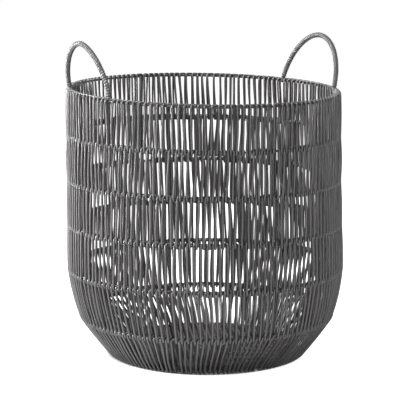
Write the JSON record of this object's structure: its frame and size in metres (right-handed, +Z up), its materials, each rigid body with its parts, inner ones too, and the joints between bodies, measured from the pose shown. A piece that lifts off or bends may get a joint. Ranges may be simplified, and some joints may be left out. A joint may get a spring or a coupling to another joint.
{
  "type": "plastic storage basket",
  "caption": "Round open wire basket wound with dark plastic cord, drawn in towards a woven floor, with two wrapped loop handles on the rim.",
  "frame": {"origin": "on the ground under the middle of the basket", "axes": "+Z up, the two handles on the X axis"},
  "size_m": [0.4068, 0.4068, 0.4658],
  "materials": {
    "painted_wire": "satin dark paint",
    "plastic_cord": "smooth charcoal cord with a soft sheen"
  },
  "bodies": {
    "root": {"rim_hoop": "painted_wire", "wall_hoop_1": "painted_wire", "wall_hoop_2": "painted_wire", "wall_hoop_3": "painted_wire", "wall_hoop_4": "painted_wire", "wall_hoop_5": "painted_wire", "base_hoop": "painted_wire", "upright_1": "painted_wire", "upright_2": "painted_wire", "upright_3": "painted_wire", "upright_4": "painted_wire", "upright_5": "painted_wire", "upright_6": "painted_wire", "upright_7": "painted_wire", "upright_8": "painted_wire", "floor_ring": "painted_wire", "floor_wire_1": "painted_wire", "floor_wire_2": "painted_wire", "floor_wire_3": "painted_wire", "floor_wire_4": "painted_wire", "floor_wire_5": "painted_wire", "floor_wire_6": "painted_wire", "floor_wire_7": "painted_wire", "floor_wire_8": "painted_wire", "floor_wire_9": "painted_wire", "floor_wire_10": "painted_wire", "floor_wire_11": "painted_wire", "floor_wire_12": "painted_wire", "floor_wire_13": "painted_wire", "floor_wire_14": "painted_wire", "floor_wire_15": "painted_wire", "floor_wire_16": "painted_wire", "floor_wire_17": "painted_wire", "floor_wire_18": "painted_wire", "floor_wire_19": "painted_wire", "floor_wire_20": "painted_wire", "floor_wire_21": "painted_wire", "floor_wire_22": "painted_wire", "floor_wire_23": "painted_wire", "floor_wire_24": "painted_wire", "floor_wire_25": "painted_wire", "handle_rod_left": "painted_wire", "handle_rod_right": "painted_wire", "wall_winding_1": "plastic_cord", "wall_winding_2": "plastic_cord", "wall_winding_3": "plastic_cord", "wall_winding_4": "plastic_cord", "wall_winding_5": "plastic_cord", "wall_winding_6": "plastic_cord", "floor_weave": "plastic_cord", "handle_wrap_left": "plastic_cord", "handle_wrap_right": "plastic_cord"}
  },
  "joints": []
}
